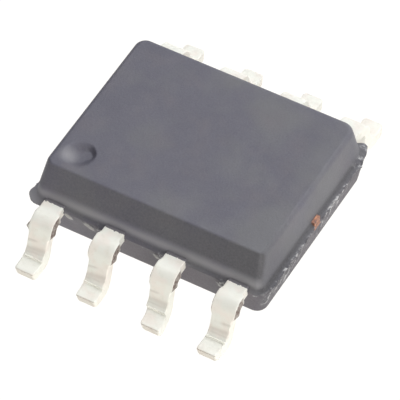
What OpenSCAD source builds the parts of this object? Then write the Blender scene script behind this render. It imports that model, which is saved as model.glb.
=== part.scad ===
// Eight-lead small-outline chip package with gull-wing leads, as it is built:
// a stamped and formed lead frame, a die on its paddle, bond wires, and a
// moulded body round them. Millimetres. X runs along the lead rows, Y across
// them, Z up from the board. The origin is on the board, under the middle of
// the body. Pin 1 is at -X -Y, and the pins count anticlockwise from above.

/* [Body] */
// Length of the body along the lead rows, at its parting line
body_len = 4.86; // [4.8:0.01:5]
// Width of the body across the lead rows, at its parting line
body_wid = 3.9; // [3.8:0.01:4]
// Height of the upper mould half above the parting line
upper_half = 0.73; // [0.65:0.01:0.8]
// Depth of the lower mould half below the parting line
lower_half = 0.7; // [0.6:0.01:0.75]
// Draft of the upper half's walls, in degrees
upper_draft = 8; // [3:1:10]
// Draft of the lower half's walls, in degrees
lower_draft = 10; // [3:1:12]
// Sloping ledge where the upper half stands inside the lower one
ledge = 0.06; // [0.02:0.01:0.08]
// Width, seen from above, of the bevel along the top edge on the pin 1 side
bevel = 0.22; // [0.15:0.01:0.25]
// Slope of the bevel's face, in degrees
bevel_slope = 59; // [45:1:60]
// Rounding of the body's upright corners
corner_r = 0.22; // [0.15:0.01:0.3]
// Rounding of the body's top and bottom edges
edge_r = 0.1; // [0.04:0.01:0.12]

/* [Pin 1 dimple] */
// Diameter of the dimple at the top face
dimple_d = 0.63; // [0.4:0.01:0.7]
// Depth of the dimple's bowl
dimple_depth = 0.09; // [0.04:0.01:0.12]
// Distance from the body's end to the dimple's centre
dimple_from_end = 0.63; // [0.55:0.01:0.9]
// Distance from the body's pin 1 side to the dimple's centre
dimple_from_side = 0.79; // [0.75:0.01:1]

/* [Moulding marks] */
// Furthest that the flash stands out of the body's ends
flash_reach = 0.05; // [0.02:0.01:0.08]
// Thickness of the flash
flash_t = 0.03; // [0.02:0.01:0.05]
// Furthest that the broken gate stands out of the body's end
gate_reach = 0.08; // [0.04:0.01:0.1]
// Width of the broken gate along the end
gate_wid = 0.34; // [0.2:0.01:0.5]
// Height of the broken gate above the parting line
gate_t = 0.11; // [0.06:0.01:0.15]

/* [Leads] */
// Distance from one lead to the next
lead_pitch = 1.27; // [1.2:0.01:1.3]
// Width of a lead
lead_w = 0.41; // [0.31:0.01:0.51]
// Thickness of the lead frame's sheet
lead_t = 0.2; // [0.17:0.01:0.25]
// Distance across the part from toe to toe
lead_span = 6; // [5.9:0.01:6.2]
// Gap between the board and the body's underside
standoff = 0.15; // [0.1:0.01:0.25]
// Straight shoulder of a lead outside the body
shoulder = 0.24; // [0.15:0.01:0.26]
// Inner radius of both bends
bend_r = 0.1; // [0.07:0.01:0.12]
// Lean of a lead's leg away from the upright, in degrees
leg_lean = 22; // [5:1:30]
// How far the cut dambar stubs stand out of a lead's sides
stub = 0.04; // [0.02:0.01:0.06]
// Length of a dambar stub along the shoulder, up to the bend
stub_in = 0.1; // [0.05:0.01:0.14]
// Length of a dambar stub down the leg, from the bend
stub_down = 0.12; // [0.05:0.01:0.15]

/* [Lead frame inside the body] */
// Length of the die paddle along the lead rows
paddle_len = 2.5; // [2.2:0.01:2.7]
// Width of the die paddle
paddle_wid = 1.9; // [1.7:0.01:2]
// How far the paddle lies below the leads
downset = 0.2; // [0.1:0.01:0.25]
// Width of the tie bar that held the paddle at each end
tie_w = 0.2; // [0.15:0.01:0.25]
// Flat run of a tie bar between the paddle and its ramp
tie_flat = 0.12; // [0.1:0.01:0.3]
// Gap between a lead's inner tip and the paddle or tie bar
tip_gap = 0.2; // [0.15:0.01:0.25]
// Length of a lead's narrow neck inside the body
neck = 0.3; // [0.25:0.01:0.4]
// How far a lead widens behind its neck, on each side
lock_ear = 0.1; // [0.04:0.01:0.12]

/* [Die] */
// Length of the die
die_len = 1.7; // [1.5:0.01:1.9]
// Width of the die
die_wid = 1.25; // [1.1:0.01:1.5]
// Thickness of the die
die_t = 0.28; // [0.2:0.01:0.3]
// Thickness of the adhesive under the die
attach_t = 0.025; // [0.015:0.005:0.04]
// How far the adhesive spreads past the die's edges
attach_lip = 0.06; // [0.02:0.01:0.1]
// Distance from one bond pad to the next along the die's edge
pad_pitch = 0.45; // [0.35:0.01:0.48]
// Distance from the die's edge to its bond pads
pad_in = 0.12; // [0.08:0.01:0.15]

/* [Bond wires] */
// Diameter of a bond wire
wire_d = 0.03; // [0.02:0.001:0.035]
// Height of a wire's loop above the die
loop_h = 0.16; // [0.12:0.01:0.2]
// Diameter of the ball bond on the die
ball_d = 0.085; // [0.07:0.005:0.1]
// Thickness of the ball bond
ball_t = 0.022; // [0.015:0.001:0.03]
// Diameter of the stitch bond on the lead
stitch_d = 0.075; // [0.06:0.005:0.1]
// Thickness of the stitch bond
stitch_t = 0.012; // [0.008:0.001:0.015]
// Distance from a lead's inner tip to its stitch bond
stitch_in = 0.15; // [0.1:0.01:0.2]

/* [Hidden] */

PINS = [1:8];
PINS_A_SIDE = 4;
COMPOUND = "#6f6e74";
TIN = "#e6e3d9";
COPPER = "#b3806a";
SILVER_EPOXY = "#a9a9a4";
SILICON = "#5b6270";
GOLD = "#d9b45b";

// Facets of a full turn on the body's rounded corners, and on the dimple
$fn = 32;
BOWL_FACETS = 96;
// Facets of a lead's bend, and of a wire's length, girth and bonds
BEND_STEPS = 8;
WIRE_STEPS = 12;
WIRE_SIDES = 8;
BOND_SIDES = 12;

// Heights above the board
parting_z = standoff + lower_half;
body_top = parting_z + upper_half;
frame_top = parting_z + lead_t / 2;
paddle_top = frame_top - downset;
die_top = paddle_top + attach_t + die_t;

// Straight land of each mould half at the parting line
LAND = 0.02;
// Inset of the upper half at the parting line, where its drafted walls would meet it
upper_inset = ledge * (1 - tan(upper_draft));
// Inset of the upper half's walls where they would meet the top face
top_inset = upper_inset + upper_half * tan(upper_draft);
// Inset of the lower half's walls where they would meet the underside
bottom_inset = lower_half * tan(lower_draft);
// Distance from a drafted wall to the centre of an edge rounding at the same height
upper_seat = edge_r / cos(upper_draft);
lower_seat = edge_r / cos(lower_draft);
// Depth of the rounding's centre where the bevel meets the drafted wall
ridge_drop = (edge_r + (bevel - upper_seat) * sin(bevel_slope))
    / (cos(bevel_slope) - tan(upper_draft) * sin(bevel_slope));

// A lead's leg: how far it turns at each bend, and the line along its middle
turn = 90 - leg_lean;
mid_r = bend_r + lead_t / 2;
leg_len = (parting_z - lead_t / 2 - 2 * mid_r * (1 - cos(turn))) / sin(turn);
bend_y = body_wid / 2 + shoulder;
heel_y = bend_y + 2 * mid_r * sin(turn) + leg_len * cos(turn);

// Ramp of a tie bar, in degrees, and its shift from one face of the sheet to the other
RAMP = 45;
ramp_start = paddle_len / 2 + tie_flat;
ramp_end = ramp_start + downset / tan(RAMP);
mitre = lead_t * tan(RAMP / 2);

// Place of a pin in its row, from -1.5 to 1.5, the row's side and its X
function slot(pin) = pin <= PINS_A_SIDE ? pin - 2.5 : 6.5 - pin;
function side(pin) = pin <= PINS_A_SIDE ? -1 : 1;
function pin_x(pin) = slot(pin) * lead_pitch;
// Distance of a lead's inner tip from the middle of the part: the end leads
// reach in beside the paddle as far as the tie bar, the others stop at the paddle
function is_end(pin) = abs(slot(pin)) > 1;
function tip_y(pin) = tip_gap + (is_end(pin) ? tie_w : paddle_wid) / 2;

function flip(list) = [for (i = [len(list) - 1:-1:0]) list[i]];

// Points [distance out, height, heading below level] along the middle of a
// lead: round the upper bend, down the leg, and round the lower bend
function upper_bend() = [for (i = [0:BEND_STEPS]) let (a = turn * i / BEND_STEPS)
    [bend_y + mid_r * sin(a), parting_z - mid_r * (1 - cos(a)), a]];
function lower_bend() = [for (i = [BEND_STEPS:-1:0]) let (a = turn * i / BEND_STEPS)
    [heel_y - mid_r * sin(a), lead_t / 2 + mid_r * (1 - cos(a)), a]];
function down_leg(run) = let (p = upper_bend()[BEND_STEPS])
    [p[0] + run * cos(turn), p[1] - run * sin(turn), turn];

// One face of a sheet that follows such points, d above its middle
function face(path, d) = [for (p = path) [p[0] + d * sin(p[2]), p[1] + d * cos(p[2])]];

// Sheet metal of width w, formed along a path that lies across the part
module formed_strip(path, w) {
    rotate([90, 0, 90])
        linear_extrude(w, center = true)
            polygon(concat(face(path, lead_t / 2), flip(face(path, -lead_t / 2))));
}

// Flat blank of a lead inside the body: a neck, then ears that lock it in
module finger(tip) {
    wide = lead_w / 2 + lock_ear;
    neck_y = body_wid / 2 - neck;
    half = [[lead_w / 2, body_wid / 2], [lead_w / 2, neck_y], [wide, neck_y - lock_ear], [wide, tip]];
    translate([0, 0, parting_z])
        linear_extrude(lead_t, center = true)
            polygon(concat(half, [for (p = flip(half)) [-p[0], p[1]]]));
}

module lead(pin) {
    strip = concat([[body_wid / 2 - neck, parting_z, 0]], upper_bend(), lower_bend(),
                   [[lead_span / 2, lead_t / 2, 0]]);
    stubs = concat([[bend_y - stub_in, parting_z, 0]], upper_bend(), [down_leg(stub_down)]);
    color(TIN)
        translate([pin_x(pin), 0, 0])
            rotate(side(pin) < 0 ? 180 : 0) {
                finger(tip_y(pin));
                formed_strip(strip, lead_w);
                formed_strip(stubs, lead_w + 2 * stub);
            }
}

// Half of the paddle's strap: level with the paddle, up a ramp, and out to
// the body's end, where it was cut off
module tie_bar() {
    low = paddle_top - lead_t;
    high = low + downset;
    under = [[0, low], [ramp_start, low], [ramp_end, high], [body_len / 2, high]];
    over = [[0, low + lead_t], [ramp_start - mitre, low + lead_t],
            [ramp_end - mitre, high + lead_t], [body_len / 2, high + lead_t]];
    rotate([90, 0, 0])
        linear_extrude(tie_w, center = true)
            polygon(concat(under, flip(over)));
}

module die_paddle() {
    color(COPPER) {
        translate([0, 0, paddle_top - lead_t / 2])
            cube([paddle_len, paddle_wid, lead_t], center = true);
        for (a = [0, 180])
            rotate(a)
                tie_bar();
    }
}

module die_attach() {
    color(SILVER_EPOXY)
        translate([0, 0, paddle_top + attach_t / 2])
            cube([die_len + 2 * attach_lip, die_wid + 2 * attach_lip, attach_t], center = true);
}

module silicon_die() {
    color(SILICON)
        translate([0, 0, die_top - die_t / 2])
            cube([die_len, die_wid, die_t], center = true);
}

// Bond wire: it rises straight from its ball on the die, loops over, and comes
// down to its stitch on the lead. The loop is a cubic Bezier curve in an
// upright plane, whose two handles stand a third higher than the loop does.
module bond_wire(pin) {
    pad = [slot(pin) * pad_pitch, side(pin) * (die_wid / 2 - pad_in)];
    land = [pin_x(pin), side(pin) * (tip_y(pin) + stitch_in)];
    run = norm(land - pad);
    along = (land - pad) / run;
    start_z = die_top + ball_t / 2;
    handle_z = die_top + loop_h * 4 / 3;
    end_z = frame_top + wire_d / 2;
    handles = [[0, start_z], [0, handle_z], [run / 2, handle_z], [run, end_z]];

    function point(t) = let (u = 1 - t)
        u * u * u * handles[0] + 3 * u * u * t * handles[1]
        + 3 * u * t * t * handles[2] + t * t * t * handles[3];
    function heading(t) = let (u = 1 - t, d = u * u * (handles[1] - handles[0])
        + 2 * u * t * (handles[2] - handles[1]) + t * t * (handles[3] - handles[2])) d / norm(d);
    function ring(t) = let (p = point(t), h = heading(t))
        [for (i = [0:WIRE_SIDES - 1]) let (a = 360 * i / WIRE_SIDES, rise = cos(a) * wire_d / 2,
                                           aside = sin(a) * wire_d / 2, s = p[0] - h[1] * rise)
            [pad[0] + along[0] * s - along[1] * aside,
             pad[1] + along[1] * s + along[0] * aside,
             p[1] + h[0] * rise]];

    skin = [for (k = [0:WIRE_STEPS - 1], i = [0:WIRE_SIDES - 1])
        let (a = k * WIRE_SIDES, b = a + WIRE_SIDES, j = (i + 1) % WIRE_SIDES)
        each [[a + i, b + i, a + j], [a + j, b + i, b + j]]];
    last = WIRE_STEPS * WIRE_SIDES;
    start_cap = [for (i = [0:WIRE_SIDES - 1]) i];
    end_cap = [for (i = [WIRE_SIDES - 1:-1:0]) last + i];

    color(GOLD) {
        polyhedron([for (k = [0:WIRE_STEPS]) each ring(k / WIRE_STEPS)],
                   concat(skin, [start_cap, end_cap]));
        translate([pad[0], pad[1], die_top])
            cylinder(h = ball_t, d = ball_d, $fn = BOND_SIDES);
        translate([land[0], land[1], frame_top])
            cylinder(h = stitch_t, d = stitch_d, $fn = BOND_SIDES);
    }
}

// Ring whose outside is the plan corner and whose tube is the edge rounding
module edge_ring() {
    rotate_extrude()
        translate([corner_r - edge_r, 0])
            circle(edge_r);
}

// Four upright corners of a mould half's outline, at height z
module corner_discs(inset, z, r) {
    for (x = [-1, 1], y = [-1, 1])
        translate([x * (body_len / 2 - inset - r), y * (body_wid / 2 - inset - r), z])
            cylinder(h = LAND, r = r);
}

// Upper half: drafted walls, rounded top edges, and the bevel on the pin 1
// side, which ends in a rounded ridge along the wall
module upper_mould() {
    ring_in = corner_r - edge_r;
    function wall(depth) = top_inset - depth * tan(upper_draft) + upper_seat + ring_in;
    back_y = body_wid / 2 - wall(edge_r);
    bevel_y = body_wid / 2 - top_inset - bevel - edge_r * tan(bevel_slope / 2) - ring_in;
    ridge_y = body_wid / 2 - wall(ridge_drop);
    hull() {
        corner_discs(upper_inset, parting_z, corner_r);
        for (x = [-1, 1]) {
            translate([x * (body_len / 2 - wall(edge_r)), back_y, body_top - edge_r])
                edge_ring();
            translate([x * (body_len / 2 - wall(edge_r)), -bevel_y, body_top - edge_r])
                edge_ring();
            translate([x * (body_len / 2 - wall(ridge_drop)), -ridge_y, body_top - ridge_drop])
                edge_ring();
        }
    }
}

// Lower half: drafted walls, rounded bottom edges, and the sloping ledge on
// top of it
module lower_mould() {
    seat = bottom_inset - edge_r * tan(lower_draft) + lower_seat + corner_r - edge_r;
    hull() {
        corner_discs(ledge, parting_z + ledge - LAND, corner_r - ledge);
        corner_discs(0, parting_z - LAND, corner_r);
        for (x = [-1, 1], y = [-1, 1])
            translate([x * (body_len / 2 - seat), y * (body_wid / 2 - seat), standoff + edge_r])
                edge_ring();
    }
}

// Ragged sheet of flash at one end of the body, between y0 and y1, and the
// broken gate beside it, as one wavy outline each
module ragged_edge(y0, y1, reach, t) {
    FLASH_STEP = 0.06;
    WAVES = [2100, 1340];
    root = body_len / 2 - ledge;
    steps = ceil((y1 - y0) / FLASH_STEP);
    function wave(y) = 0.65 + 0.2 * sin(WAVES[0] * y) + 0.15 * cos(WAVES[1] * y);
    linear_extrude(t)
        polygon(concat([[root, y0]],
                       [for (i = [1:steps - 1]) let (y = y0 + (y1 - y0) * i / steps)
                           [body_len / 2 + reach * wave(y), y]],
                       [[root, y1]]));
}

module flash() {
    end_y = body_wid / 2 - corner_r;
    for (a = [0, 180], y = [-end_y, tie_w / 2])
        rotate(a)
            translate([0, 0, parting_z - flash_t / 2])
                ragged_edge(y, y + end_y - tie_w / 2, flash_reach, flash_t);
    translate([0, 0, parting_z - flash_t])
        ragged_edge(end_y - gate_wid, end_y, gate_reach, gate_t + flash_t);
}

module dimple() {
    bowl_r = (dimple_d * dimple_d / 4 + dimple_depth * dimple_depth) / (2 * dimple_depth);
    translate([dimple_from_end - body_len / 2, dimple_from_side - body_wid / 2,
               body_top - dimple_depth + bowl_r])
        sphere(bowl_r, $fn = BOWL_FACETS);
}

// The compound fills everything round the lead frame, the die and the wires
module moulded_body() {
    color(COMPOUND)
        difference() {
            union() {
                lower_mould();
                upper_mould();
                flash();
            }
            dimple();
            die_paddle();
            die_attach();
            silicon_die();
            for (pin = PINS) {
                lead(pin);
                bond_wire(pin);
            }
        }
}

moulded_body();
for (pin = PINS) {
    lead(pin);
    bond_wire(pin);
}
die_paddle();
die_attach();
silicon_die();
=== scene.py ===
"""Looks of an eight-lead small-outline chip package: moulded body, tin-plated
gull-wing leads, and the lead frame, die and bond wires inside."""

from functools import partial

import bmesh
import bpy
import numpy as np
from mathutils import Matrix, Vector


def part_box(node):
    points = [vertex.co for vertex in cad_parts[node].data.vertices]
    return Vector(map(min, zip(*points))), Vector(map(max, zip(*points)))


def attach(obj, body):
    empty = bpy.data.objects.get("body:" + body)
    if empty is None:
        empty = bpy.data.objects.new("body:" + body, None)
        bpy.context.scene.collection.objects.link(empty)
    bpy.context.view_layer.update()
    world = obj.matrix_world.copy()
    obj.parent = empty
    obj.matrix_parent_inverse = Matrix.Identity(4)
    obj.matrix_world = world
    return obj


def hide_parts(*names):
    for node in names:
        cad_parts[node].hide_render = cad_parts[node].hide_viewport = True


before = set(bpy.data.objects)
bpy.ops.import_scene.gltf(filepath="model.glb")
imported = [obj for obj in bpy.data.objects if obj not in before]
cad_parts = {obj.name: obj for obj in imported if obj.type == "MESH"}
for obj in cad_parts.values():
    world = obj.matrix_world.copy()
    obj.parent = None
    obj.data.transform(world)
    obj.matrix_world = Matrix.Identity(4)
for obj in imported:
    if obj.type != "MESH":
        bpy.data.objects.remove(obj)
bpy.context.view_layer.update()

MM = 0.001
PINS_A_SIDE = 4
WELD = 2e-8          # points nearer than this are one, in metres
FLOOR_REACH = 0.4    # half the floor's side, in metres
FLOOR_GAP = 5e-6     # floor below the soles, so that the two surfaces are apart

# ---------------------------------------------------------------- sizes, mm


def box_mm(node):
    """Lowest and highest corner of a CAD node, in millimetres."""
    low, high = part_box(node)
    return np.array(low) / MM, np.array(high) / MM


body_low, body_high = box_mm("moulded_body")
lead_low, lead_high = box_mm("lead_1")
paddle_high = box_mm("die_paddle")[1]

SHEET = 0.2          # thickness of the lead frame's sheet
HALF_LEN = paddle_high[0]            # the tie bars were cut off at the ends
HALF_WID = body_high[1]
BASE_Z, TOP_Z = body_low[2], body_high[2]
PARTING_Z = lead_high[2] - SHEET / 2
TOE_Y = -lead_low[1]

UPPER_DRAFT, LOWER_DRAFT, BEVEL_SLOPE = np.tan(np.radians([8, 10, 59]))
LEDGE = 0.06         # sloping step where the upper half stands inside the lower
BEVEL = 0.22         # width of the bevel along the pin 1 side, from above
CORNER = 0.22        # rounding of the upright corners
EDGE = 0.1           # rounding of the top and bottom edges
BEVEL_EDGE = 0.05    # rounding where the bevel meets the top face
RIDGE_SOFT = 0.014   # softness of the ridge under the bevel
TOP_INSET = LEDGE + (TOP_Z - PARTING_Z - LEDGE) * UPPER_DRAFT
RIDGE_Z = TOP_Z - BEVEL * BEVEL_SLOPE / (1 - UPPER_DRAFT * BEVEL_SLOPE)
# Upright corners of the upper half, front left first and then anticlockwise:
# the bevel leaves the front right one sharper, and one at the back is worn
UPPER_CORNERS = np.array([0.2, 0.14, 0.28, 0.22])

# Pin 1 dimple: its centre, the radii of its floor and its rim, its depth, and
# the painted highlight on its wall
DIMPLE_AT = np.array([0.63 - HALF_LEN, 0.79 - HALF_WID])
DIMPLE_FLOOR_R, DIMPLE_R, DIMPLE_DEPTH = 0.1, 0.32, 0.1
DIMPLE_HIGHLIGHT_AT = (*(DIMPLE_AT - [0.18, 0.08]), TOP_Z - DIMPLE_DEPTH / 2)
DIMPLE_HIGHLIGHT_CORE, DIMPLE_HIGHLIGHT_R = 0.04, 0.23

LEAD_HALF = 0.205    # half the width of a lead
PITCH = 1.27
EAR_HALF = 0.305     # half the width of the locking ears inside the body
NECK_Y, EAR_Y = 1.65, 1.55
BEND_Y = 2.19        # where the upper bend starts
MID_R = 0.2          # radius of both bends along the sheet's middle
USUAL_TURN = 68      # degrees that the other leads turn at each bend
LEAD_EDGE = 0.022    # rounding of a lead's stamped edges
STUB = 0.042         # how far the cut dambar stubs stand out
LAST_RUN = 0.16      # run before the upper bend that has closer stations
TURN = {3: 73, 5: 76}                    # degrees that two leads turn at each bend
SWING = {1: -0.02, 3: 0.07, 4: -0.04}    # sideways bend of some toes
# Matte tin scatters light almost as paint does, so it is only partly metallic
METAL, ROUGH = 0.3, 0.6

# Clusters of broken resin on the right end wall: their places across the body
CLUSTERS = (-1.6, -1.17, -0.84, -0.48, 0.38, 0.67, 1.0)
# Flakes of resin on the wall under the parting line of the pin 1 side: place
# along the body, distance below the line, and half length
FLAKES = ((-1.17, 0.12, 0.12), (0.23, 0.13, 0.06), (1.535, 0.15, 0.06), (-1.6, 0.08, 0.08))

# Points across and along an outline, and on half of a corner's arc
BODY_ACROSS, BODY_ALONG, BODY_ARC = 170, 150, 6
LEAD_ACROSS, LEAD_ALONG, LEAD_ARC = 15, 7, 3


# ------------------------------------------------------------ mesh helpers


def smooth_step(low, high, x):
    """0 below low, 1 above high, and a smooth cubic between."""
    t = np.clip((x - low) / (high - low), 0, 1)
    return t * t * (3 - 2 * t)


def bump(x, centre, width):
    """Bell curve of height 1 round centre."""
    return np.exp(-((x - centre) / width) ** 2)


def waves(x, seed, step, rough=0.5):
    """Smooth random curve from -1 to 1: random heights at knots one step
    apart, joined by cubic steps, plus a finer copy of half the size."""
    rng = np.random.default_rng(seed)
    total, size, reach = np.zeros_like(x, float), 1.0, 0.0
    for _ in range(3):
        heights = rng.uniform(-1, 1, 4096)
        place = x / step + 2000
        cell = np.floor(place).astype(int)
        t = place - cell
        t = t * t * (3 - 2 * t)
        total += size * (heights[cell % 4096] * (1 - t) + heights[(cell + 1) % 4096] * t)
        reach += size
        size *= rough
        step /= 2.3
    return total / reach


def spaced(count, density):
    """count + 1 values from 0 to 1, closer together where density is high:
    the inverse of density's running sum."""
    t = np.linspace(0, 1, 2001)
    run = np.concatenate([[0], np.cumsum((density(t[1:]) + density(t[:-1])) / 2)])
    return np.interp(np.linspace(0, run[-1], count + 1), run, t)


def outline_plan(across, along, arc):
    """Plan of a rounded rectangle's outline. Each point has an outward
    heading and a weight on each of the four corner centres. A side runs from
    the middle of one corner's arc, along its straight, to the middle of the
    next arc; across and along are the places of the points on the straights."""
    headings, weights = [], []
    for side in range(4):
        places = across if side % 2 == 0 else along
        if side > 1:
            places = 1 - places[::-1]
        middle = np.radians(-90 + 90 * side)
        turn = np.linspace(-45, 0, arc + 1)[:-1]
        turns = np.concatenate([turn, np.zeros(len(places)), -turn[::-1]])[:-1]
        share = np.concatenate([np.zeros(arc), places, np.ones(arc)])[:-1]
        weight = np.zeros((len(share), 4))
        weight[:, side] = 1 - share
        weight[:, (side + 1) % 4] = share
        headings.append(middle + np.radians(turns))
        weights.append(weight)
    sides = [len(h) for h in headings]
    return np.concatenate(headings), np.concatenate(weights), sides[0], sides[1]


def outlines(plan, left, right, front, back, radius):
    """Rounded rectangles, one for each value of the sizes, whose radius has a
    column for each corner: the weighted corner centre plus the weighted
    radius times the heading. Returns x and y, rings by points."""
    heading, weight = plan[:2]
    count = np.broadcast(left, right, front, back, radius[:, 0]).shape
    left, right, front, back = (np.broadcast_to(a, count)[:, None]
                                for a in (left, right, front, back))
    cx = np.hstack([radius[:, :1] - left, right - radius[:, 1:2],
                    right - radius[:, 2:3], radius[:, 3:] - left])
    cy = np.hstack([radius[:, :2] - front, back - radius[:, 2:]])
    reach = radius @ weight.T
    return cx @ weight.T + reach * np.cos(heading), cy @ weight.T + reach * np.sin(heading)


def cap(ring, plan):
    """Patch over a closed ring: a Coons blend of its four sides,
    each side's points joined straight across to the opposite side's, less
    the blend of the four corners."""
    n, m = plan[2], plan[3]
    loop = np.vstack([ring, ring[:1]])
    front, right = loop[:n + 1], loop[n:n + m + 1]
    back, left = loop[n + m:2 * n + m + 1][::-1], loop[2 * n + m:][::-1]
    u = np.linalg.norm(front - front[0], axis=1) / np.linalg.norm(front[-1] - front[0])
    v = np.linalg.norm(right - right[0], axis=1) / np.linalg.norm(right[-1] - right[0])
    u, v = u[None, :, None], v[:, None, None]
    ruled = (1 - v) * front[None] + v * back[None] + (1 - u) * left[:, None] + u * right[:, None]
    corners = ((1 - u) * (1 - v) * front[0] + u * (1 - v) * front[-1]
               + (1 - u) * v * back[0] + u * v * back[-1])
    return ruled - corners


def quads(rows, cols, first, wrap):
    """Corner numbers of a grid's faces, joined round in columns if wrap."""
    index = first + np.arange(rows * cols).reshape(rows, cols)
    if wrap:
        index = np.hstack([index, index[:, :1]])
    corners = [index[:-1, :-1], index[:-1, 1:], index[1:, 1:], index[1:, :-1]]
    return np.stack(corners, -1).reshape(-1, 4)


def solid(name, rings, plan, marks, shape_cap=None):
    """Closed, smooth mesh object from rings of points in millimetres, with a
    patch over each end. marks are named values for the ring points; a patch
    takes the mean of its own ring's. shape_cap may move the last patch."""
    first_cap, last_cap = cap(rings[0], plan), cap(rings[-1], plan)
    if shape_cap:
        last_cap = shape_cap(last_cap)
    points, faces, first = [], [], 0
    for grid, wrap in ((rings, True), (first_cap, False), (last_cap, False)):
        points.append(grid.reshape(-1, 3))
        faces.append(quads(*grid.shape[:2], first, wrap))
        first += len(points[-1])
    mesh = bpy.data.meshes.new(name)
    mesh.from_pydata(np.vstack(points) * MM, [], np.vstack(faces))
    for key, values in marks.items():
        patches = [np.full(len(points[k + 1]), np.mean(values[-k])) for k in (0, 1)]
        full = np.concatenate([np.asarray(values).ravel(), *patches]).astype(np.float32)
        mesh.attributes.new(key, "FLOAT", "POINT").data.foreach_set("value", full)
    made = bmesh.new()
    made.from_mesh(mesh)
    bmesh.ops.remove_doubles(made, verts=made.verts, dist=WELD)
    bmesh.ops.recalc_face_normals(made, faces=made.faces)
    made.to_mesh(mesh)
    made.free()
    mesh.polygons.foreach_set("use_smooth", np.ones(len(mesh.polygons), bool))
    mesh.update()
    piece = bpy.data.objects.new(name, mesh)
    bpy.context.scene.collection.objects.link(piece)
    return piece


# --------------------------------------------------------------- materials


def linear(code):
    """Linear colour of an sRGB hex code."""
    srgb = np.array([int(code[i:i + 2], 16) for i in (1, 3, 5)]) / 255
    return (*np.where(srgb <= 0.04045, srgb / 12.92, ((srgb + 0.055) / 1.055) ** 2.4), 1.0)


def node(tree, kind, inputs=None, out=0, **settings):
    """Adds one node with its settings, sets or links its inputs, and returns
    one of its outputs."""
    made = tree.nodes.new(kind)
    for key, value in settings.items():
        setattr(made, key, value)
    for key, value in (inputs or {}).items():
        if isinstance(value, bpy.types.NodeSocket):
            tree.links.new(value, made.inputs[key])
        else:
            made.inputs[key].default_value = value
    return made.outputs[out] if made.outputs else made


def new_material(name):
    """Empty material, a function that adds its nodes, and its Object
    coordinates in millimetres."""
    material = bpy.data.materials.new(name)
    material.use_nodes = True
    material.node_tree.nodes.clear()
    add = partial(node, material.node_tree)
    place = add("ShaderNodeTexCoord", out="Object")
    place = add("ShaderNodeMapping", {"Vector": place, "Scale": (1 / MM,) * 3})
    return material, add, place


# Sockets of a colour mix: its share, its two colours and its result
SHARE, FIRST, SECOND, RESULT = 0, 6, 7, 2
COLOUR = {"out": RESULT, "data_type": "RGBA"}

PAINTED_HIGHLIGHT_COLOUR = "#98979a"   # colour of the painted highlights on the moulding compound


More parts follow.
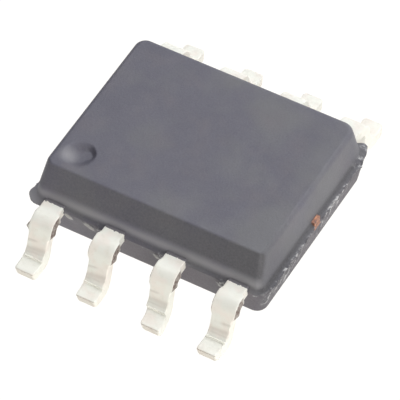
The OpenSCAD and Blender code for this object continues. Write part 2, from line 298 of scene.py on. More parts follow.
def moulded_compound():
    """Epoxy moulding compound filled with silica, as it leaves a spark-eroded
    mould: a dull charcoal grey with faint bluish and brownish clouds and a fine
    matte grain; painted highlights on the wall under the ridge, the front left
    corner and the dimple's wall; painted shade on the lower half, the ledge, the
    bevel and the front of the right end; and pale crumbs, with painted shade in
    their pits, where resin broke away."""
    material, add, place = new_material("moulded_epoxy_compound")
    clouds = add("ShaderNodeTexNoise", {"Vector": place, "Scale": 1 / 1.1, "Detail": 3.0})
    # The end with the dimple is a little darker and bluer
    run = add("ShaderNodeSeparateXYZ", {"Vector": place}, "X")
    run = add("ShaderNodeMapRange", {"Value": run, "From Min": -HALF_LEN, "From Max": HALF_LEN,
                                     "To Min": -0.2, "To Max": 0.1})
    clouds = add("ShaderNodeMath", {0: clouds, 1: run}, operation="ADD")
    clouds = add("ShaderNodeMapRange", {"Value": clouds, "From Min": 0.38, "From Max": 0.62})
    colour = add("ShaderNodeMix", {SHARE: clouds, FIRST: linear("#61606c"),
                                   SECOND: linear("#6e6e72")}, **COLOUR)
    stain = add("ShaderNodeTexNoise", {"Vector": place, "Scale": 1 / 0.45, "Detail": 4.0})
    stain = add("ShaderNodeMapRange", {"Value": stain, "From Min": 0.5, "From Max": 0.72,
                                       "To Max": 0.45})
    colour = add("ShaderNodeMix", {SHARE: stain, FIRST: colour,
                                   SECOND: linear("#706b71")}, **COLOUR)
    # Painted highlight on the walls, painted shade (darker and browner) on the lower mould half,
    # and painted shade on the ledge and bevel
    for mark, shade in (("painted_highlight", PAINTED_HIGHLIGHT_COLOUR), ("lower_half", "#534e55"), ("shaded", "#454447")):
        share = add("ShaderNodeAttribute", out="Fac", attribute_name=mark)
        colour = add("ShaderNodeMix", {SHARE: share, FIRST: colour,
                                       SECOND: linear(shade)}, **COLOUR)
    # Grains of silica filler are about 0.02 mm; drawn at 0.035 mm to show
    grit = add("ShaderNodeTexNoise", {"Vector": place, "Scale": 1 / 0.035, "Detail": 3.0,
                                      "Roughness": 0.7})
    grit = add("ShaderNodeMapRange", {"Value": grit, "From Min": 0.3, "From Max": 0.75,
                                      "To Max": 0.3})
    colour = add("ShaderNodeMix", {SHARE: grit, FIRST: colour,
                                   SECOND: linear("#818186")}, **COLOUR)
    # Painted highlight on the dimple's wall at its front left
    scuff = add("ShaderNodeVectorMath", {0: place, 1: DIMPLE_HIGHLIGHT_AT}, "Value", operation="DISTANCE")
    scuff = add("ShaderNodeMapRange", {"Value": scuff, "From Min": DIMPLE_HIGHLIGHT_CORE, "From Max": DIMPLE_HIGHLIGHT_R,
                                       "To Min": 0.75, "To Max": 0.0})
    colour = add("ShaderNodeMix", {SHARE: scuff, FIRST: colour, SECOND: linear(PAINTED_HIGHLIGHT_COLOUR)}, **COLOUR)
    # Broken resin: crumbs about 0.07 mm across, with painted shade in the pits between them
    rubble = add("ShaderNodeTexNoise", {"Vector": place, "Scale": 1 / 0.1, "Detail": 4.0,
                                        "Roughness": 0.6})
    broken = add("ShaderNodeAttribute", out="Fac", attribute_name="broken")
    pit_shade = add("ShaderNodeMapRange", {"Value": rubble, "From Min": 0.5, "From Max": 0.36,
                                      "To Max": 0.8})
    pit_shade = add("ShaderNodeMath", {0: pit_shade, 1: broken}, operation="MULTIPLY")
    colour = add("ShaderNodeMix", {SHARE: pit_shade, FIRST: colour,
                                   SECOND: linear("#3f3e42")}, **COLOUR)
    crumbs = add("ShaderNodeMapRange", {"Value": rubble, "From Min": 0.5, "From Max": 0.62})
    pale = add("ShaderNodeMath", {0: crumbs, 1: broken}, operation="MULTIPLY")
    colour = add("ShaderNodeMix", {SHARE: pale, FIRST: colour, SECOND: linear("#cfcfce")}, **COLOUR)
    # Thin flakes of resin, paler than the block
    flake = add("ShaderNodeAttribute", out="Fac", attribute_name="flake")
    colour = add("ShaderNodeMix", {SHARE: flake, FIRST: colour,
                                   SECOND: linear("#a9a8a6")}, **COLOUR)
    # Grain of the eroded mould is about 0.01 mm; drawn at 0.04 mm to show
    grain = add("ShaderNodeTexNoise", {"Vector": place, "Scale": 1 / 0.04, "Detail": 4.0,
                                       "Roughness": 0.65})
    normal = add("ShaderNodeBump", {"Height": grain, "Distance": 0.006 * MM})
    swell = add("ShaderNodeTexNoise", {"Vector": place, "Scale": 1 / 0.5})
    normal = add("ShaderNodeBump", {"Height": swell, "Distance": 0.012 * MM, "Normal": normal})
    sheen = add("ShaderNodeMapRange", {"Value": swell, "From Min": 0.3, "From Max": 0.7,
                                       "To Min": 0.5, "To Max": 0.62})
    shader = add("ShaderNodeBsdfPrincipled", {"Base Color": colour, "Roughness": sheen,
                                              "Normal": normal, "IOR": 1.5})
    add("ShaderNodeOutputMaterial", {"Surface": shader})
    return material


def matte_tin():
    """Matte tin plated on copper alloy: fine crystals that scatter light, so
    it looks off-white with only a soft sheen, warm or greenish in patches;
    dull brown where the frame was cut after plating, thin dark lines where
    the forming tool bore on it, and a grey film of resin next to the body."""
    material, add, place = new_material("matte_tin_plate")
    patches = add("ShaderNodeTexNoise", {"Vector": place, "Scale": 1 / 0.3, "Detail": 3.0})
    warm = add("ShaderNodeMapRange", {"Value": patches, "From Min": 0.45, "From Max": 0.62})
    colour = add("ShaderNodeMix", {SHARE: warm, FIRST: linear("#f9f9f0"),
                                   SECOND: linear("#faf5ec")}, **COLOUR)
    dull = add("ShaderNodeTexNoise", {"Vector": place, "Scale": 1 / 0.14, "Detail": 4.0,
                                      "Roughness": 0.6})
    dull = add("ShaderNodeMapRange", {"Value": dull, "From Min": 0.52, "From Max": 0.74,
                                      "To Max": 0.4})
    colour = add("ShaderNodeMix", {SHARE: dull, FIRST: colour, SECOND: linear("#e6e4d6")}, **COLOUR)
    crease = add("ShaderNodeAttribute", out="Fac", attribute_name="crease")
    colour = add("ShaderNodeMix", {SHARE: crease, FIRST: colour,
                                   SECOND: linear("#9a8874")}, **COLOUR)
    # Torn metal of the cut faces, about 0.06 mm between its streaks
    torn = add("ShaderNodeTexNoise", {"Vector": place, "Scale": 1 / 0.06, "Detail": 3.0,
                                      "Roughness": 0.6})
    torn = add("ShaderNodeMapRange", {"Value": torn, "From Min": 0.3, "From Max": 0.6,
                                      "To Min": 0.55, "To Max": 1.0})
    cut = add("ShaderNodeAttribute", out="Fac", attribute_name="cut")
    bare = add("ShaderNodeMath", {0: torn, 1: cut}, operation="MULTIPLY")
    colour = add("ShaderNodeMix", {SHARE: bare, FIRST: colour, SECOND: linear("#7b6b64")}, **COLOUR)
    resin = add("ShaderNodeAttribute", out="Fac", attribute_name="resin")
    edge = add("ShaderNodeTexNoise", {"Vector": place, "Scale": 1 / 0.05, "Detail": 3.0})
    edge = add("ShaderNodeMath", {0: edge, 1: resin}, operation="ADD")
    edge = add("ShaderNodeMapRange", {"Value": edge, "From Min": 0.98, "From Max": 1.04})
    colour = add("ShaderNodeMix", {SHARE: edge, FIRST: colour, SECOND: linear("#77757a")}, **COLOUR)
    metal = add("ShaderNodeMapRange", {"Value": edge, "To Min": METAL, "To Max": 0.0})
    # Crystals are a few thousandths of a millimetre; drawn at 0.02 mm to show
    crystals = add("ShaderNodeTexNoise", {"Vector": place, "Scale": 1 / 0.02, "Detail": 3.0,
                                          "Roughness": 0.6})
    normal = add("ShaderNodeBump", {"Height": crystals, "Distance": 0.0025 * MM})
    sheen = add("ShaderNodeMapRange", {"Value": patches, "From Min": 0.35, "From Max": 0.68,
                                       "To Min": ROUGH, "To Max": ROUGH + 0.14})
    shader = add("ShaderNodeBsdfPrincipled", {"Base Color": colour, "Metallic": metal,
                                              "Roughness": sheen, "Normal": normal})
    add("ShaderNodeOutputMaterial", {"Surface": shader})
    return material


def plain_metal(name, light, dark, size, rough):
    """Bare metal with cloudy tarnish, in blotches of size millimetres."""
    material, add, place = new_material(name)
    blotch = add("ShaderNodeTexNoise", {"Vector": place, "Scale": 1 / size, "Detail": 4.0,
                                        "Roughness": 0.6})
    tarnish = add("ShaderNodeMapRange", {"Value": blotch, "From Min": 0.35, "From Max": 0.7})
    colour = add("ShaderNodeMix", {SHARE: tarnish, FIRST: linear(light),
                                   SECOND: linear(dark)}, **COLOUR)
    scratches = add("ShaderNodeTexNoise", {"Vector": place, "Scale": 6 / size, "Detail": 3.0})
    normal = add("ShaderNodeBump", {"Height": scratches, "Distance": size / 60 * MM})
    sheen = add("ShaderNodeMapRange", {"Value": blotch, "From Min": 0.3, "From Max": 0.7,
                                       "To Min": rough, "To Max": rough + 0.15})
    shader = add("ShaderNodeBsdfPrincipled", {"Base Color": colour, "Metallic": 1.0,
                                              "Roughness": sheen, "Normal": normal})
    add("ShaderNodeOutputMaterial", {"Surface": shader})
    return material


def sawn_silicon():
    """Silicon die under its glassy nitride coat: dark slate, nearly smooth,
    with a faint grid of circuit blocks 0.12 mm across."""
    material, add, place = new_material("passivated_silicon")
    blocks = add("ShaderNodeTexVoronoi", {"Vector": place, "Scale": 1 / 0.12}, "Color",
                 distance="MANHATTAN")
    blocks = add("ShaderNodeMapRange", {"Value": blocks, "From Min": 0.2, "From Max": 0.8})
    colour = add("ShaderNodeMix", {SHARE: blocks, FIRST: linear("#4c5362"),
                                   SECOND: linear("#667086")}, **COLOUR)
    haze = add("ShaderNodeTexNoise", {"Vector": place, "Scale": 1 / 0.1})
    normal = add("ShaderNodeBump", {"Height": haze, "Distance": 0.0005 * MM})
    sheen = add("ShaderNodeMapRange", {"Value": haze, "From Min": 0.3, "From Max": 0.7,
                                       "To Min": 0.16, "To Max": 0.26})
    shader = add("ShaderNodeBsdfPrincipled", {"Base Color": colour, "Metallic": 0.3, "IOR": 2.0,
                                              "Roughness": sheen, "Normal": normal})
    add("ShaderNodeOutputMaterial", {"Surface": shader})
    return material


def silver_epoxy():
    """Die attach adhesive, an epoxy paste loaded with silver flake: dull
    grey with bright specks."""
    material, add, place = new_material("silver_filled_epoxy")
    # Silver flake is about 0.005 mm across; drawn at 0.02 mm to show
    flakes = add("ShaderNodeTexNoise", {"Vector": place, "Scale": 1 / 0.02, "Detail": 3.0,
                                        "Roughness": 0.7})
    specks = add("ShaderNodeMapRange", {"Value": flakes, "From Min": 0.5, "From Max": 0.7})
    colour = add("ShaderNodeMix", {SHARE: specks, FIRST: linear("#8f8f8b"),
                                   SECOND: linear("#c9c9c6")}, **COLOUR)
    normal = add("ShaderNodeBump", {"Height": flakes, "Distance": 0.004 * MM})
    sheen = add("ShaderNodeMapRange", {"Value": specks, "To Min": 0.6, "To Max": 0.4})
    shader = add("ShaderNodeBsdfPrincipled", {"Base Color": colour, "Metallic": 0.6,
                                              "Roughness": sheen, "Normal": normal})
    add("ShaderNodeOutputMaterial", {"Surface": shader})
    return material


# --------------------------------------------------------------------- body


def body_profile():
    """Rings of the moulded body from the underside up: inset of the walls,
    inset of the pin 1 side, height, and radius of each corner. Walls lean in
    by their draft; the edge roundings are arcs tangent to them; the bevel is
    a steep line, joined to its wall by a soft maximum and to the top face by
    an arc."""
    down = np.radians(np.linspace(-90, -np.degrees(np.arctan(LOWER_DRAFT)), 8))
    seat = (PARTING_Z - BASE_Z - EDGE) * LOWER_DRAFT + EDGE * np.hypot(1, LOWER_DRAFT)
    under_z, under_in = BASE_Z + EDGE + EDGE * np.sin(down), seat - EDGE * np.cos(down)
    under_r = CORNER - EDGE + EDGE * np.cos(down)

    wall_z = np.linspace(under_z[-1], PARTING_Z - 0.1, 8)[1:]
    edge_z = np.linspace(PARTING_Z - 0.1, PARTING_Z - 0.02, 8)[1:]
    low_z = np.concatenate([wall_z, edge_z])
    low_in = (PARTING_Z - low_z) * LOWER_DRAFT
    land_z = PARTING_Z + np.array([-0.014, -0.008, -0.003, 0.003, 0.008, 0.014])
    land_in = np.maximum(land_z - PARTING_Z, 0)
    step_z = PARTING_Z + LEDGE * np.array([0.4, 0.6, 0.8, 0.9, 1.0, 1.1, 1.25])
    step_in = LEDGE - 0.008 * np.logaddexp(0, (PARTING_Z + LEDGE - step_z) / 0.008)

    rise = np.radians(np.linspace(np.degrees(np.arctan(UPPER_DRAFT)), 90, 14))
    upper_z = np.concatenate([
        np.linspace(step_z[-1], RIDGE_Z - 0.08, 7)[1:],
        np.linspace(RIDGE_Z - 0.08, RIDGE_Z + 0.14, 19)[1:],
        np.linspace(RIDGE_Z + 0.14, TOP_Z - EDGE + EDGE * np.sin(rise[0]), 8)[1:-1]])
    upper_in = TOP_INSET - (TOP_Z - upper_z) * UPPER_DRAFT
    upper_seat = TOP_INSET - EDGE * UPPER_DRAFT + EDGE * np.hypot(1, UPPER_DRAFT)
    top_z, top_in = TOP_Z - EDGE + EDGE * np.sin(rise), upper_seat - EDGE * np.cos(rise)

    z = np.concatenate([under_z, low_z, land_z, step_z, upper_z, top_z])
    walls = np.concatenate([under_in, low_in, land_in, step_in, upper_in, top_in])
    radius = np.full((len(z), 4), CORNER)
    radius[:len(down)] = under_r[:, None]
    upper = smooth_step(PARTING_Z, PARTING_Z + 2 * LEDGE, z)[:, None]
    radius += upper * (UPPER_CORNERS - CORNER)
    radius[-len(rise):] -= EDGE * (1 - np.cos(rise))[:, None]

    bevelled = TOP_INSET + BEVEL - (TOP_Z - z) / BEVEL_SLOPE
    tilt = np.arctan(BEVEL_SLOPE)
    lift = np.clip(z - (TOP_Z - BEVEL_EDGE), 0, BEVEL_EDGE)
    arc = TOP_INSET + BEVEL + BEVEL_EDGE * np.tan(tilt / 2) - np.sqrt(BEVEL_EDGE ** 2 - lift ** 2)
    bevelled = np.where(lift > BEVEL_EDGE * np.cos(tilt), arc, bevelled)
    joined = RIDGE_SOFT * np.logaddexp(walls / RIDGE_SOFT, bevelled / RIDGE_SOFT)
    front = np.where(z > RIDGE_Z - 0.15, joined, walls)
    return z, walls, front, radius


def flashed(x, y, z):
    """Distance that loose resin pushes each point outwards, how broken its
    surface is, and where the pale flakes are. Each form is a product of bell
    curves and smooth steps in x, y and z, roughened by random curves: a
    ragged lip of flash on both ends at the parting line, clear of the tie
    bars; a broken wall under it on the right end; the broken gate and a lump
    at the back right corner; a bulge at the front left corner; wedges of
    resin left of each lead; and flakes and specks on the pin 1 side."""
    at_end = smooth_step(HALF_LEN - 0.16, HALF_LEN - 0.08, np.abs(x))
    right = x > 0
    edge_run = np.where(right, y, -y) + np.where(right, 0, 11)
    clear_of_bar = smooth_step(0.09, 0.14, np.abs(y))
    lip = bump(z, PARTING_Z, 0.012) * clear_of_bar * (1 - smooth_step(1.6, 1.75, np.abs(y)))
    ragged = 0.5 + 0.5 * waves(edge_run, 5, 0.11, 0.7)
    reach = at_end * lip * (0.012 + 0.04 * ragged)

    # Wall under the parting line of the right end, where the resin broke away
    below = smooth_step(PARTING_Z - 0.66, PARTING_Z - 0.25, z) * (z < PARTING_Z + 0.01)
    under_bar = smooth_step(PARTING_Z - 0.12, PARTING_Z - 0.2, z)
    torn_wall = at_end * below * right * np.maximum(clear_of_bar, under_bar)
    chunks = sum(bump(y - 0.5 * (z - PARTING_Z), centre, 0.09) for centre in CLUSTERS)
    chunks = np.clip(chunks * (0.9 + 0.6 * waves(y + 0.8 * z, 12, 0.09, 0.8)), 0, 1)
    reach = reach + torn_wall * (0.016 * chunks + 0.012 * waves(y + 17 * z, 13, 0.05, 0.8))
    broken = np.clip(torn_wall * (0.14 + 0.86 * chunks) + 0.25 * at_end * lip * right, 0, 1)

    # Broken gate, and a lump of resin round the corner from it
    rubble = waves(edge_run + 3.1 * z, 8, 0.07, 0.7) + waves(z - 0.4 * y, 9, 0.05, 0.7)
    gate = bump(y, 1.56, 0.13) * bump(z, PARTING_Z + 0.04, 0.055) * right * at_end
    reach = reach + gate * np.clip(0.06 + 0.045 * rubble, 0.0, 0.1)
    broken = np.maximum(broken, gate)
    lump = (bump(np.hypot(x - HALF_LEN + 0.14, y - HALF_WID), 0.0, 0.12)
            * bump(z, PARTING_Z + 0.01, 0.06))
    reach = reach + lump * (0.085 + 0.055 * rubble)
    broken = np.maximum(broken, lump)

    from_corner = np.hypot(x + HALF_LEN, y + HALF_WID)
    bulge = bump(from_corner, 0.06, 0.2) * bump(z, PARTING_Z - 0.01, 0.06)
    reach = reach + bulge * (0.1 + 0.03 * waves(z + x - y, 14, 0.06))

    # Wedges of resin left of each lead; the one at pin 1 is whole
    side = smooth_step(HALF_WID - 0.16, HALF_WID - 0.08, np.abs(y))
    for pin in range(2 * PINS_A_SIDE):                     # from 0, and both rows from the left
        row = -1 if pin < PINS_A_SIDE else 1
        left = (pin % PINS_A_SIDE - 1.5) * PITCH - LEAD_HALF
        size = 0.035 + 0.03 * waves(np.array([pin * 1.7]), 21, 0.4)[0]
        web = bump(x, left - 0.09, 0.09) * bump(z, PARTING_Z - 0.06, 0.06) * (row * y > 0) * side
        web = web * (0.8 + 0.5 * waves(2 * x + z, 30 + pin, 0.05, 0.7))
        reach = reach + size * web
        broken = np.maximum(broken, 1.6 * web * (pin > 0))

    # Flakes lie aslant under the parting line, and specks run along it
    front = (y < 0) * side
    flakes = np.zeros_like(x)
    for centre, drop, length in FLAKES:
        slant = PARTING_Z - drop - 0.33 * (x - centre)
        flake = bump(x, centre, length) * bump(z, slant, 0.065) * front
        reach = reach + 0.045 * flake * (1 + 0.5 * waves(3 * x + z, 50, 0.05, 0.7))
        ragged_flake = flake * (1 + 0.6 * waves(x + 2 * z, 52, 0.05, 0.7))
        flakes = np.maximum(flakes, smooth_step(0.2, 0.6, ragged_flake))
    broken = np.maximum(broken, 0.55 * flakes)
    specks = bump(z, PARTING_Z - 0.05, 0.02) * smooth_step(0.2, 0.6, waves(x, 51, 0.08, 0.7))
    broken = np.maximum(broken, 0.7 * specks * front)
    return reach, np.clip(broken, 0, 1), flakes


def body_piece():
    """Moulded body: rounded-rectangle rings stacked along the profile, with
    loose resin pushed out along each ring's heading, and the dimple sunk into
    the top cap as a dish whose wall is a smooth step, steeper on the back
    right, where the floor reaches further."""
    z, walls, front_in, radius = body_profile()
    dimple_share = (DIMPLE_AT + [HALF_LEN, HALF_WID]) / [2 * HALF_LEN, 2 * HALF_WID]
    across = spaced(BODY_ACROSS, lambda t: 1 + 1.6 * bump(t, dimple_share[0], 0.09))
    along = spaced(BODY_ALONG, lambda t: 1 + 1.6 * bump(t, dimple_share[1], 0.11))
    plan = outline_plan(across, along, BODY_ARC)
    half_x = HALF_LEN - walls
    x, y = outlines(plan, half_x, half_x, HALF_WID - front_in, HALF_WID - walls, radius)
    z = np.broadcast_to(z[:, None], x.shape)
    reach, broken, flakes = flashed(x, y, z)
    heading = plan[0]
    rings = np.stack([x + reach * np.cos(heading), y + reach * np.sin(heading), z], -1)

    def sink(points):
        offset = points[..., :2] - DIMPLE_AT
        away = np.hypot(offset[..., 0], offset[..., 1])
        towards = (offset @ [0.75, 0.66]) / np.maximum(away, 1e-6)
        floor = DIMPLE_FLOOR_R + 0.13 * bump(towards, 1.0, 0.2)
        share = smooth_step(0, 1, (away - floor) / (DIMPLE_R - floor))
        points = points.copy()
        points[..., 2] -= DIMPLE_DEPTH * (1 - share)
        return points

    faces_front = smooth_step(0.3, 0.8, -np.sin(heading))
    faces_right = smooth_step(0.3, 0.8, np.cos(heading))
    at_corner = bump(np.hypot(x + HALF_LEN, y + HALF_WID), 0.0, 0.35)

    # Painted shade: the lower half is darker and browner, less so where it broke and near pin 1
    lower_half = smooth_step(PARTING_Z + 0.02, PARTING_Z - 0.03, z) * (1 - 0.6 * broken)
    lower_half = lower_half * (1 - 0.5 * smooth_step(-0.8, -1.5, x) * smooth_step(0.6, -1.4, y))

    # Painted shade on the ledge, the front of the right end and the bevel
    ledge = bump(z, PARTING_Z + (0.75 + 0.25 * faces_right) * LEDGE, 0.04 + 0.03 * faces_right)
    ledge = ledge * (1 - broken)
    shaded = ledge * (0.36 + 0.4 * faces_right) + 0.34 * faces_right * smooth_step(-0.2, -1.6, y)
    bevel = smooth_step(RIDGE_Z + 0.02, RIDGE_Z + 0.1, z) * smooth_step(TOP_Z, TOP_Z - 0.03, z)
    shaded = shaded + bevel * faces_front * (0.41 + 0.17 * (1 + x / HALF_LEN))
    shaded, lower_half = shaded * (1 - at_corner), lower_half * (1 - at_corner)

    # Painted highlight on the wall under the ridge and on the bulge at the front left corner
    painted_highlight = smooth_step(RIDGE_Z + 0.06, RIDGE_Z - 0.06, z) * smooth_step(
        PARTING_Z + LEDGE, PARTING_Z + LEDGE + 0.12, z) * faces_front
    painted_highlight = 0.55 * painted_highlight + 0.95 * at_corner * bump(z, PARTING_Z, 0.12)
    marks = {"broken": broken, "flake": flakes, "painted_highlight": np.clip(painted_highlight, 0, 1),
             "lower_half": lower_half, "shaded": shaded}
    return solid("moulded_package", rings, plan, marks, shape_cap=sink)


# -------------------------------------------------------------------- leads


def lead_path(tip, turn):
    """Stations along a lead's middle: distance run, place out and up, heading
    below level, and the runs at which each length starts. Straight to the
    upper bend, round it, down the leg, round the lower bend, and along the
    foot: the heading grows or falls with the run on a bend, and the place is
    the running sum of its cosine and sine."""
    drop = MID_R * (1 - np.cos(turn))
    leg = (PARTING_Z - SHEET / 2 - 2 * drop) / np.sin(turn)
    heel = BEND_Y + 2 * MID_R * np.sin(turn) + leg * np.cos(turn)
    lengths = [EAR_Y - tip, NECK_Y - EAR_Y, BEND_Y - LAST_RUN - NECK_Y, LAST_RUN,
               MID_R * turn, leg, MID_R * turn, TOE_Y - heel]
    steps = [8, 4, 16, 10, 24, 22, 24, 22]
    marks = np.concatenate([[0], np.cumsum(lengths)])
    s = np.concatenate([np.linspace(a, b, n, endpoint=False)
                        for a, b, n in zip(marks[:-1], marks[1:], steps)] + [[marks[-1]]])
    bend_1, bend_2 = marks[4], marks[7]    # the first bend's start and the second one's end
    a = np.clip((s - bend_1) / MID_R, 0, turn)
    b = np.clip((bend_2 - s) / MID_R, 0, turn)
    heading = np.minimum(a, b)
    fine = np.linspace(0, marks[-1], 6001)
    fine_heading = np.minimum(np.clip((fine - bend_1) / MID_R, 0, turn),
                              np.clip((bend_2 - fine) / MID_R, 0, turn))
    mid = (fine_heading[1:] + fine_heading[:-1]) / 2
    out = tip + np.concatenate([[0], np.cumsum(np.cos(mid) * np.diff(fine))])
    up = PARTING_Z - np.concatenate([[0], np.cumsum(np.sin(mid) * np.diff(fine))])
    return s, np.interp(s, fine, out), np.interp(s, fine, up), heading, marks


def lead_piece(pin):
    """Lead: a rounded rectangular section carried along the bent path. Its
    half widths are chains of smooth steps for the ears, the neck, the cut
    stubs and the worn toe corners. Its top face carries bell curves for the
    rubs of the forming tool and the fillet at the heel, its toe leans as it
    was sheared, and pin 1 has a burr under its bend."""
    slot = pin - 2.5 if pin <= PINS_A_SIDE else 6.5 - pin
    row = -1 if pin <= PINS_A_SIDE else 1
    front = float(row < 0)
    low, high = box_mm(f"lead_{pin}")
    tip = high[1] if row < 0 else low[1]
    s, out, up, heading, marks = lead_path(abs(tip), np.radians(TURN.get(pin, USUAL_TURN)))
    bend, leg, heel = marks[4], marks[5], marks[6]         # where each one starts
    rng = np.random.default_rng(100 + pin)
    run, fall = s[:, None], (marks[-1] - s)[:, None]       # fall is the run left to the toe

    ear = 1 - smooth_step(marks[1] - 0.02, marks[2] + 0.02, s)
    half = LEAD_HALF + (EAR_HALF - LEAD_HALF) * ear
    corner = np.sqrt(np.clip(1 - (1 - np.clip(fall[:, 0] / 0.07, 0, 1)) ** 2, 0, 1))
    # Cut stubs: torn and bare on the pin 1 side, plated over on the other
    halves, cuts = [], []
    for side in range(2):
        shift = rng.uniform(-0.03, 0.03, 2)
        begin, end = bend - 0.08 + shift[0], leg + 0.1 + shift[1]
        stub = (smooth_step(begin - 0.04, begin + 0.05, s)
                * (1 - smooth_step(end - 0.05, end + 0.05, s)))
        size = STUB * rng.uniform(0.75, 1.1) * (0.3 if pin == 1 and side == 0 else 1)
        halves.append(half + size * stub
                      - (0.03 + 0.03 * rng.uniform()) * (1 - corner))
        cuts.append(front * smooth_step(0.5, 0.85, stub)
                    * smooth_step(bend - 0.08, bend + 0.02, s))

    plan = outline_plan(np.linspace(0, 1, LEAD_ACROSS), np.linspace(0, 1, LEAD_ALONG), LEAD_ARC)
    u, n = outlines(plan, halves[0], halves[1], SHEET / 2, SHEET / 2,
                    np.full((len(s), 4), LEAD_EDGE))
    face, aside = np.sin(plan[0])[None], np.cos(plan[0])[None]
    on_top = smooth_step(0.3, 0.8, face)                   # 1 on the top face, 0 below
    skew = rng.uniform(-0.12, 0.12) * u
    at = run - heel + skew
    tool = (0.006 * bump(at, -0.24, 0.05) - 0.004 * bump(at, -0.15, 0.04)
            + 0.085 * bump(at, 0.08, 0.17) + 0.003 * waves(at, 40 + pin, 0.12))
    n = n + on_top * tool * smooth_step(leg, heel - 0.05, run)
    n = n - 0.008 * on_top * smooth_step(0.05, 0.0, fall)
    cut = np.where(aside * row > 0, cuts[0][:, None], cuts[1][:, None])
    cut = cut * smooth_step(0.6, 0.9, np.abs(aside))
    u = u + np.sign(aside) * cut * 0.007 * waves(run + 5 * n, 60 + pin, 0.035, 0.7)
    if pin == 1:                                           # a burr under its bend
        torn = 0.05 + 0.03 * waves(run + 3 * n, 70, 0.03, 0.7)
        u = u - torn * bump(run, leg, 0.05) * smooth_step(0.6, 0.9, -aside)

    swing = SWING.get(pin, 0) * smooth_step(heel, marks[-1], run)
    x = slot * PITCH - row * u + swing
    sheared = 0.25 * (n + SHEET / 2) * smooth_step(0.2, 0.0, fall)
    y = row * (out[:, None] + n * np.sin(heading)[:, None] + sheared)
    z = up[:, None] + n * np.cos(heading)[:, None]
    rings = np.stack([np.broadcast_to(a, u.shape) for a in (x, y, z)], -1)

    # On the pin 1 side: a darker band over the heel, and marks of the forming tool:
    # a line under it, a short scuff above, and a line along the toe's top edge
    scuff = bump(at, -0.3, 0.02) * smooth_step(-0.05, 0.08, u * np.sign(rng.uniform(-1, 1)))
    crease = on_top * (0.2 * bump(at, -0.14, 0.05) + 0.16 * bump(at, -0.07, 0.014) + 0.28 * scuff)
    crease = front * (crease + 0.8 * bump(fall, 0.0, 0.016) * smooth_step(-0.2, 0.5, face))
    resin = smooth_step(HALF_WID + 0.06, HALF_WID - 0.06, out)[:, None] * (run < bend + 0.1)
    whole = np.ones_like(u)
    return solid(f"formed_lead_{pin}", rings, plan,
                 {"cut": cut * whole, "crease": crease * whole, "resin": resin * whole})


# ------------------------------------------------------------------ scene


compound = moulded_compound()
tin = matte_tin()
# Sheared end of the copper alloy frame: bright copper, tarnished in blotches
copper = plain_metal("bare_copper_alloy", "#dda384", "#857370", 0.08, 0.5)
# Drawn gold wire: smooth and bright
gold = plain_metal("drawn_gold", "#f0c869", "#d9a845", 0.05, 0.2)
silicon = sawn_silicon()
adhesive = silver_epoxy()

body = body_piece()
body.data.materials.append(compound)
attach(body, "root")
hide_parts("moulded_body")

for pin in range(1, 2 * PINS_A_SIDE + 1):
    lead = lead_piece(pin)
    lead.data.materials.append(tin)
    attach(lead, "root")
    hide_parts(f"lead_{pin}")

for name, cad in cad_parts.items():
    kind = {"die_paddle": copper, "die_attach": adhesive, "silicon_die": silicon}.get(name)
    if name.startswith("bond_wire"):
        kind = gold
    if kind:
        cad.data.materials.clear()
        cad.data.materials.append(kind)


def light_table():
    """White acrylic sheet lit from inside, an even glow on a white surface,
    and clear from below."""
    material, add, _ = new_material("light_table")
    glow = add("ShaderNodeEmission", {"Color": linear("#fffdfa"), "Strength": 1.06})
    white = add("ShaderNodeBsdfDiffuse", {"Color": linear("#2c2c2c")})
    lit = add("ShaderNodeAddShader", {0: glow, 1: white})
    back = add("ShaderNodeNewGeometry", out="Backfacing")
    sheet = add("ShaderNodeMixShader", {0: back, 1: lit, 2: add("ShaderNodeBsdfTransparent")})
    add("ShaderNodeOutputMaterial", {"Surface": sheet})
    return material


floor_mesh = bpy.data.meshes.new("floor")
floor_mesh.from_pydata([(x * FLOOR_REACH, y * FLOOR_REACH, -FLOOR_GAP)
                        for x, y in ((-1, -1), (1, -1), (1, 1), (-1, 1))],
                       [], [(0, 1, 2, 3)])
floor_mesh.materials.append(light_table())
floor = bpy.data.objects.new("floor", floor_mesh)
bpy.context.scene.collection.objects.link(floor)

AIM = Vector((0.294, -0.509, 0.8)) * MM
SOFTBOX, LIGHT_DISTANCE = 0.12, 0.15          # metres


def from_aim(azimuth, elevation):
    """Direction from the aim at these degrees; azimuth 0 is the -Y side."""
    a, e = np.radians([azimuth, elevation])
    return Vector((np.sin(a) * np.cos(e), -np.cos(a) * np.cos(e), np.sin(e)))


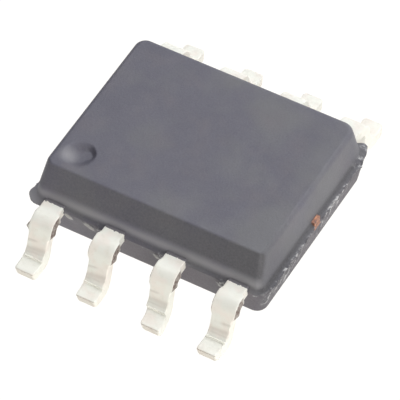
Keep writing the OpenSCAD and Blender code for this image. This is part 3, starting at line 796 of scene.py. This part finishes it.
def softbox(name, azimuth, elevation, power, colour):
    """Square area light of SOFTBOX metres that faces the aim, in watts."""
    data = bpy.data.lights.new(name, "AREA")
    data.size, data.energy, data.color = SOFTBOX, power, linear(colour)[:3]
    lamp = bpy.data.objects.new(name, data)
    back = from_aim(azimuth, elevation)
    lamp.location = AIM + back * LIGHT_DISTANCE
    lamp.visible_camera = False
    lamp.rotation_mode = "QUATERNION"
    lamp.rotation_quaternion = back.to_track_quat("Z", "Y")
    bpy.context.scene.collection.objects.link(lamp)


# Soft, nearly white studio light, cooler from behind and above
COOL, WARM = "#fbfcff", "#fffcf8"
softbox("overhead_softbox", 180, 68, 0.163, COOL)
softbox("backdrop_low", 180, 15, 0.08, COOL)
softbox("side_softbox", 98, 20, 0.066, COOL)
softbox("front_low", 45, 12, 0.125, WARM)
softbox("front_fill", 20, 45, 0.04, WARM)

# World: a white backdrop to the eye that gives only a trace of light
world = bpy.data.worlds.new("studio")
world.use_nodes = True
world.node_tree.nodes.clear()
add = partial(node, world.node_tree)
seen = add("ShaderNodeLightPath", out="Is Camera Ray")
trace = add("ShaderNodeBackground", {"Color": linear("#ffffff"), "Strength": 0.04})
white = add("ShaderNodeBackground", {"Color": linear("#ffffff"), "Strength": 1.0})
add("ShaderNodeOutputWorld", {"Surface": add("ShaderNodeMixShader", {0: seen, 1: trace, 2: white})})
bpy.context.scene.world = world
bpy.context.scene.view_settings.view_transform = "Standard"

# Camera: its direction as azimuth and elevation round the aim, and a slight roll
AZIMUTH, ELEVATION, ROLL, DISTANCE = 33.24, 50.92, np.radians(-3.69), 72.31 * MM
away = from_aim(AZIMUTH, ELEVATION)
camera_data = bpy.data.cameras.new("camera")
camera_data.lens, camera_data.sensor_width = 361.8, 36
camera_data.clip_start, camera_data.clip_end = 1 * MM, 10
camera = bpy.data.objects.new("camera", camera_data)
right = (-away).cross(Vector((0, 0, 1))).normalized()
upward = right.cross(-away)
camera_right = right * np.cos(ROLL) + upward * np.sin(ROLL)
camera_up = away.cross(camera_right)
camera.matrix_world = Matrix.Translation(AIM + away * DISTANCE) @ Matrix(
    (camera_right, camera_up, away)).transposed().to_4x4()
bpy.context.scene.collection.objects.link(camera)
bpy.context.scene.camera = camera

bpy.context.view_layer.update()
